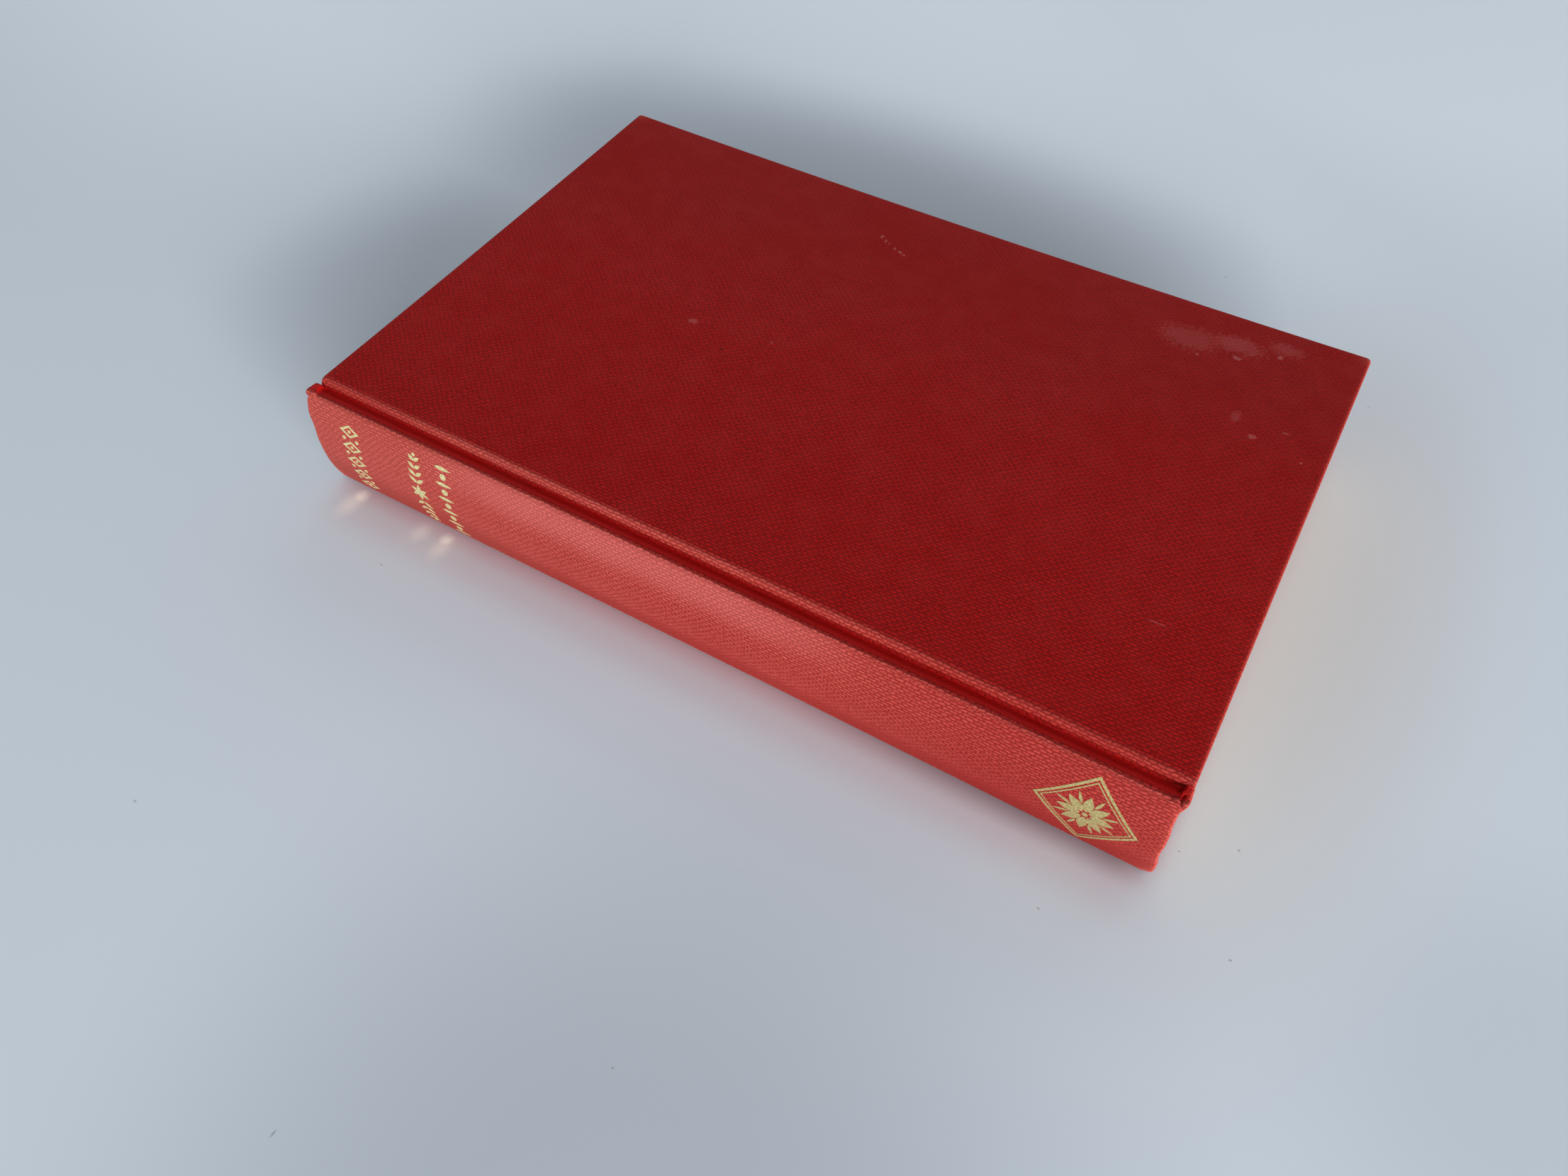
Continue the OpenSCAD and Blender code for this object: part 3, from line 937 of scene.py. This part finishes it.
def band(side):
    """A band's bead, wound with thread, on the pages' head or tail"""
    angle = band_span(side)[1]
    bead_r = BAND_D / 2
    centre_x = side * (page_x + bead_r)
    turns = round(2 * angle * lining_r / THREAD_PITCH)
    along = np.linspace(-1, 1, turns * 6 + 1)
    wind = 1 + 0.09 * np.abs(np.sin((along + 1) / 2 * turns * math.pi)) - 0.06
    closing = np.sqrt(np.clip((1.0 - np.abs(along)) * angle * lining_r / bead_r, 0.01, 1))
    around = np.arange(12) * math.tau / 12
    r = bead_r * (wind * closing)[:, None]
    middle = lining_r - bead_r
    radius = middle + r * np.cos(around)
    arc = on_arc(along[:, None] * angle, radius)
    x = centre_x + r * np.sin(around)
    bead = Surface()
    numbers = bead.add(np.concatenate([x[..., None], arc], 2))
    closed = np.concatenate([numbers, numbers[:, :1]], 1)
    length = along * angle * lining_r
    bead.patch(closed, coords(length[:, None], np.append(around, math.tau)))
    for ring in (numbers[0], numbers[-1][::-1]):
        half = len(ring) // 2
        ladder = np.stack([ring[:half], ring[::-1][:half]], 1)
        bead.patch(ladder, np.zeros((half, 2, 2)))
    return bead.arrays()


def tape(side):
    """The band's tape, glued down the back of the pages"""
    (lo, hi), angle = band_span(side)
    inner_x = lo[0] if side > 0 else hi[0]
    rows = np.sort(even(inner_x, side * (page_x + BAND_D / 4), 1.0))
    line = on_arc(np.linspace(-angle, angle, 30), lining_r)
    return sheet_grid(rows, line, LINING_T, step=-1)


# Gold foil

FOIL_T = 0.05


class Foil:
    """Thin gold plates pressed into the spine's cloth, drawn as (x, s): s is up the spine's arc"""

    def __init__(self):
        self.points = []
        self.faces = []

    def side_pair(self, outline):
        """Adds an outline above the cloth and again below it, and returns both lists of numbers"""
        first = len(self.points)
        for lift in (FOIL_T, -FOIL_T):
            for x, s in outline:
                u, v = on_arc(s / spine_r, spine_r + lift)
                self.points.append((x, u, v - spine_sag(x, v)))
        count = len(outline)
        return range(first, first + count), range(first + count, first + 2 * count)

    def walls(self, top, low):
        """The faces between two closed rows of points"""
        self.faces += [(top[k - 1], low[k - 1], low[k], top[k]) for k in range(len(top))]

    def plate(self, outline):
        """A filled shape: its outline runs so that x turns towards s"""
        top, low = self.side_pair(outline)
        self.faces += [tuple(top), tuple(low[::-1])]
        self.walls(top, low)

    def frame(self, outer, inner):
        """A shape between two outlines with as many points each"""
        out_top, out_low = self.side_pair(outer)
        in_top, in_low = self.side_pair(inner)
        rings = (out_top, out_low, in_low, in_top)
        for k in range(len(rings)):
            self.walls(rings[k - 1], rings[k])

    def disc(self, x, s, radius):
        """A round dot, drawn with 16 sides"""
        turn = np.arange(16) * math.tau / 16
        self.plate([(x + radius * math.cos(a), s + radius * math.sin(a)) for a in turn])

    def petal(self, x, s, length, width, angle, start=0.0):
        """A leaf from start to length away from (x, s), turned that many degrees from x to s"""
        along = np.linspace(0, 1, 8)
        half = width / 2 * np.sin(np.pi * along**0.8)
        reach = start + (length - start) * along
        path = list(zip(reach, -half)) + list(zip(reach[-2:0:-1], half[-2:0:-1]))
        c, d = math.cos(math.radians(angle)), math.sin(math.radians(angle))
        self.plate([(x + a * c - b * d, s + a * d + b * c) for a, b in path])

    def lozenge_line(self, x, s, width, height, steps=14):
        """The outline of a lozenge, with that many points on each side"""
        corners = [(x + width / 2, s), (x, s + height / 2), (x - width / 2, s), (x, s - height / 2)]
        made = []
        for (x0, s0), (x1, s1) in zip(corners, corners[1:] + corners[:1]):
            made += [(x0 + (x1 - x0) * k / steps, s0 + (s1 - s0) * k / steps) for k in range(steps)]
        return made

    def lozenge_frame(self, x, s, width, height, line):
        """A lozenge drawn as a line of that width, inside its outline"""
        slant = math.hypot(width, height)
        inner = width - 2 * line * slant / height, height - 2 * line * slant / width
        self.frame(self.lozenge_line(x, s, width, height), self.lozenge_line(x, s, *inner))

    def piece(self, name, material):
        """The plates as one mesh object"""
        mesh = bpy.data.meshes.new(name)
        points = np.array(self.points)
        mesh.from_pydata(to_row(points).tolist(), [], self.faces)
        flat = mesh.uv_layers.new(name="flat")
        for loop in mesh.loops:
            x, u, v = self.points[loop.vertex_index]
            flat.data[loop.index].uv = (x, -math.atan2(v, arc_u - u) * spine_r)
        mesh.materials.append(material)
        return add_object(name, mesh)


def foil_material():
    """Pale brass foil that follows the cloth's grain, thin in places, and painted lighter towards
    the head
    """
    t = new_material("gold_foil")
    flat = t.flat()
    beads = bead_height(t, flat)
    mottle = t.noise(flat, 0.5, detail=4.0)
    # Painted light: the foil is lighter towards the head and darker towards the tail
    lit = t.ramp(t.split(t.place())[0], 0.07, -0.07)
    low = t.mix(lit, srgb(172, 152, 90), srgb(218, 196, 122))
    high = t.mix(lit, srgb(216, 202, 142), srgb(255, 250, 196))
    colour = t.mix(t.ramp(mottle, 0.3, 0.7), low, high)
    height = t.math("ADD", t.product(beads, 0.05), t.product(mottle, 0.03))
    return t.finish(
        Base_Color=colour, Metallic=0.65, Roughness=t.ramp(mottle, 0.3, 0.7, 0.45, 0.3),
        Normal=t.bump(height, MM),
    )


# Places of the gold, in millimetres from the middle of the spine's length and up its arc
FIRST_BAND_X = -89.9
LEAF_BAND_X = -71.1
BEAD_BAND_X = -62.9
BAND_S = -0.6
DEVICE_X = 87.2
# Distance between two lozenges of the first band
LOZENGE_STEP = 4.4


def lozenge_band():
    """A row of lozenges with pairs of dots between them"""
    foil = Foil()
    for k in range(-2, 3):
        foil.lozenge_frame(FIRST_BAND_X, BAND_S + LOZENGE_STEP * k, 5.6, 3.4, 0.55)
        foil.disc(FIRST_BAND_X, BAND_S + LOZENGE_STEP * k, 0.42)
    for k in (-1.5, -0.5, 0.5, 1.5):
        for x in (-1.9, 1.9):
            foil.disc(FIRST_BAND_X + x, BAND_S + LOZENGE_STEP * k, 0.5)
    return foil


def leaf_bands():
    """A row of leaf pairs from a small flower, over a row of dots and leaves"""
    foil = Foil()
    for angle in range(0, 360, 60):
        foil.petal(LEAF_BAND_X, BAND_S, 2.5, 1.1, angle + 30)
    for side in (-1, 1):
        for k in range(4):
            s = BAND_S + side * (3.1 + 2.1 * k)
            for tilt in (-1, 1):
                foil.petal(LEAF_BAND_X, s, 2.7 - 0.25 * k, 1.0, 90 * side + tilt * side * 52)
        foil.disc(LEAF_BAND_X, BAND_S + side * 11.0, 0.45)
    for k in range(-5, 6):
        s = BAND_S + 2.15 * k
        if k % 2:
            foil.petal(BEAD_BAND_X - 2.3, s, 4.6, 1.0, 0)
        else:
            foil.disc(BEAD_BAND_X, s, 0.85)
    return foil


def lozenge_device():
    """A rosette of leaves in a double lozenge"""
    foil = Foil()
    foil.lozenge_frame(DEVICE_X, 0, 20.5, 23.0, 0.6)
    foil.lozenge_frame(DEVICE_X, 0, 17.8, 19.97, 0.28)
    for k in range(8):
        foil.petal(DEVICE_X, 0, 5.6, 2.1, 45 * k, start=0.9)
        foil.petal(DEVICE_X, 0, 6.6, 0.7, 45 * k + 22.5, start=3.2)
    foil.disc(DEVICE_X, 0, 0.6)
    return foil


# Pieces

# The cloth's flat coordinate runs this far ahead of u on the board
mid_line = cover_columns(1)[0][0]
flat_shift = arc_length(mid_line)[-1] - mid_line[-1, 0]
marks = ([(x, u + flat_shift, *rest) for x, u, *rest in m] for m in (PALE_MARKS, DARK_MARKS))
front_red = cloth_material("red_bookcloth_front", *marks)
back_red = cloth_material("red_bookcloth_back")
spine_red = cloth_material("red_bookcloth_spine")
end_paper = paper_material("end_paper_sheet", srgb(236, 228, 208))
grey_board = board_material("grey_board", srgb(150, 140, 124))
tan_card = board_material("tan_card", srgb(186, 160, 118))
thread = thread_material()
gold = foil_material()

# The slots of the cloth and the end paper, whose pieces on a cover are baked in place instead
# of attached to it. Each holds the u where it starts to bend with a cover, which is not used
BEND_U = {"red_cloth": RIDGE_U, "end_paper": -3.9}


# Each piece with its arrays, material, body, slot and the node that it replaces
for name, arrays, material, body, slot, node in (
    ("front_cover_cloth", cover_cloth(1, BOW), front_red, "front_cover", "red_cloth",
     "front_cloth"),
    ("back_cover_cloth", cover_cloth(-1, 0), back_red, "back_cover", "red_cloth", "back_cloth"),
    ("front_inside_paper", pastedown(BOW), end_paper, "front_cover", "end_paper",
     "front_pastedown"),
    ("back_inside_paper", pastedown(0), end_paper, "back_cover", "end_paper", "back_pastedown"),
    ("front_bowed_board", board_sheet(BOW), grey_board, "front_cover", "board", "front_board"),
    ("spine_cover_cloth", spine_cloth_shell(), spine_red, "book_block", "red_cloth", "spine_cloth"),
    ("spine_card_strip", card_sheet(), tan_card, "book_block", "spine_card", "spine_card"),
    ("page_leaves", page_block(), page_edge_material(), "book_block", "page_paper", "text_block"),
    ("head_band_bead", band(-1), thread, "book_block", "head_band", "head_band"),
    ("tail_band_bead", band(1), thread, "book_block", "head_band", "tail_band"),
    ("head_band_tape", tape(-1), thread, "book_block", "head_band", "head_band"),
    ("tail_band_tape", tape(1), thread, "book_block", "head_band", "tail_band"),
):
    side = -1 if body == "back_cover" else 1
    crease = 40 if name == "page_leaves" else 50
    piece = make_piece(name, arrays, material, side, crease)
    if slot in BEND_U and body != "book_block":
        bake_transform(piece)
    else:
        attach(piece, body)
    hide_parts(node)

for name, foil in (
    ("gold_lozenges", lozenge_band()), ("gold_leaves", leaf_bands()),
    ("gold_device", lozenge_device()),
):
    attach(foil.piece(name, gold), "book_block")

gauze = gauze_material()
for node, material in (
    ("front_flyleaf", end_paper), ("back_flyleaf", end_paper), ("back_board", grey_board),
    ("spine_lining", gauze), ("front_lining_flap", gauze), ("back_lining_flap", gauze),
):
    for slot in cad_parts[node].material_slots:
        slot.material = material


# Camera
camera = add_object("camera", bpy.data.cameras.new("camera"))
camera.location = (0.08924, -0.18257, 0.20920)
camera.rotation_euler = Euler([math.radians(a) for a in (38.1285, -0.3880, 30.2354)])
camera.data.sensor_width = 36
camera.data.lens = 27.097
bpy.context.scene.camera = camera


# Table and light

# Where the main lamp stands, in metres
WINDOW = 1.42, -1.33, 0.46

# Painted light and shade on the table: each a colour, the core of its spots, and the spots, with y
# in place of u. The first lightens the far side; the others are painted shadows
TABLE_TONE = 209, 219, 229
PAINTED_TABLE_LIGHT_AND_SHADE = [
    ((230, 240, 250), 0.4, [(-250, 200, 420, 240, 0.95), (60, 330, 300, 200, 0.7)]),
    ((150, 158, 168), 0.2, [(50, -170, 110, 110, 0.5), (175, -70, 60, 60, 0.2)]),
    ((150, 158, 168), 0.3, [(-40, 95, 170, 75, 0.5), (-130, 0, 70, 70, 0.3)]),
    ((198, 196, 198), 0.1, [(112, 20, 50, 150, 0.7)]),
]
# The shadow and the red light along the spine's foot, at the head and at the tail, and further out
FOOT_TONES = (198, 174, 181), (156, 144, 151)
HALO_TONE = 203, 204, 212
# Light that the gold throws on the table, and dust on it
FOIL_GLOWS = [
    (-93.4, -67.5, 2.8, 3.2, 0.85), (-93.8, -70.5, 3.8, 6.5, 0.45), (-73.6, -69.0, 3.2, 4.5, 0.35),
    (-66.8, -67.8, 2.6, 2.8, 0.80), (-66.4, -70.3, 3.4, 5.5, 0.40),
]
TABLE_SPECKS = [
    (86.6, -81.4, 0.5, 0.4, 0.5), (105.6, -57.0, 0.4, 0.25, 0.5), (115.5, -51.0, 0.4, 0.4, 0.4),
    (-74.7, -80.9, 0.35, 0.3, 0.5), (59.7, 121.5, 0.9, 0.6, 0.25), (107.6, 87.7, 0.6, 0.3, 0.3),
    (120.5, -73.0, 0.5, 0.35, 0.6), (-7.2, -181.7, 0.3, 1.0, 0.5), (35.0, -144.8, 0.4, 0.3, 0.5),
    (-75.3, -150.8, 0.5, 0.4, 0.4),
]


def table_material():
    """A plain pale table top, with painted light and shade round the book and over the table"""
    t = new_material("table_top")
    flat = t.vector("MULTIPLY", t.place(), (1 / MM, 1 / MM, 0))
    x, y, _ = t.split(flat)
    colour = srgb(*TABLE_TONE)
    for tone, core, places in PAINTED_TABLE_LIGHT_AND_SHADE:
        colour = t.mix(spots(t, flat, places, core, 0.0), colour, srgb(*tone))
    front = t.product(t.ramp(x, -104, -90), t.ramp(x, 106, 94), t.ramp(y, 0, -40))
    colour = t.mix(t.product(t.ramp(y, -80.0, -70.0), front), colour, srgb(*HALO_TONE))
    foot_tone = t.mix(t.ramp(x, 10, 80), *(srgb(*tone) for tone in FOOT_TONES))
    colour = t.mix(t.product(t.ramp(y, -70.5, -64.0), front), colour, foot_tone)
    colour = t.mix(spots(t, flat, FOIL_GLOWS, 0.0, 0.3), colour, srgb(255, 252, 244))
    colour = t.mix(spots(t, flat, TABLE_SPECKS, 0.2), colour, srgb(96, 92, 96))
    colour = t.mix(lamp_shade(t, flat), colour, srgb(0, 0, 0))
    return t.finish(Base_Color=colour, Roughness=0.8, Specular_IOR_Level=0.0)


def lamp_shade(t, flat):
    """How much darker the camera sees the floor close to the lamp, which would look burnt out"""
    lamp = (WINDOW[0] / MM, WINDOW[1] / MM, 0)
    apart = t.vector("LENGTH", t.vector("SUBTRACT", flat, lamp), output=1)
    # From 1.7 m away the floor keeps its tone, and so does the floor behind the lamp
    tone = t.math("POWER", t.math("DIVIDE", apart, 1700.0), 2.3)
    shade = t.math("SUBTRACT", 1.0, t.math("MINIMUM", t.math("MAXIMUM", tone, 0.06), 1.0))
    x, y, _ = t.split(flat)
    towards_lamp = t.math("SUBTRACT", t.product(x, 0.73), t.product(y, 0.684))
    lit = t.ramp(towards_lamp, 2050, 1900)
    return t.product(t.node("LightPath"), t.product(shade, lit))


def make_table():
    mesh = bpy.data.meshes.new("table")
    size = 3.0
    corners = [(-size, -size, 0), (size, -size, 0), (size, size, 0), (-size, size, 0)]
    mesh.from_pydata(corners, [], [(0, 1, 2, 3)])
    mesh.materials.append(table_material())
    table = add_object("table", mesh)


def add_light(name, place, size, power, colour):
    """A rectangular lamp that faces the book"""
    data = bpy.data.lights.new(name, "AREA")
    data.shape = "RECTANGLE"
    data.size, data.size_y = size
    data.energy = power
    data.color = colour
    light = add_object(name, data)
    light.location = place
    light.rotation_mode = "QUATERNION"
    light.rotation_quaternion = (-Vector(place)).to_track_quat("-Z", "Y")


def make_world():
    """A room that is bright low down and dark overhead"""
    world = bpy.data.worlds.new("room")
    bpy.context.scene.world = world
    t = Tree(world, "Background")
    height = t.split(t.node("TexCoord"))[2]
    t.finish(Color=srgb(246, 250, 255), Strength=t.ramp(height, 0.05, 0.6, 0.85, 0.39))


make_table()
make_world()
add_light("window", WINDOW, (1.6, 0.55), 57, (1.0, 0.98, 0.955))
add_light("far wall", (-0.3, 3.6, 2.3), (5.0, 2.0), 24, (0.97, 0.99, 1.0))
bpy.context.scene.view_settings.view_transform = "Standard"
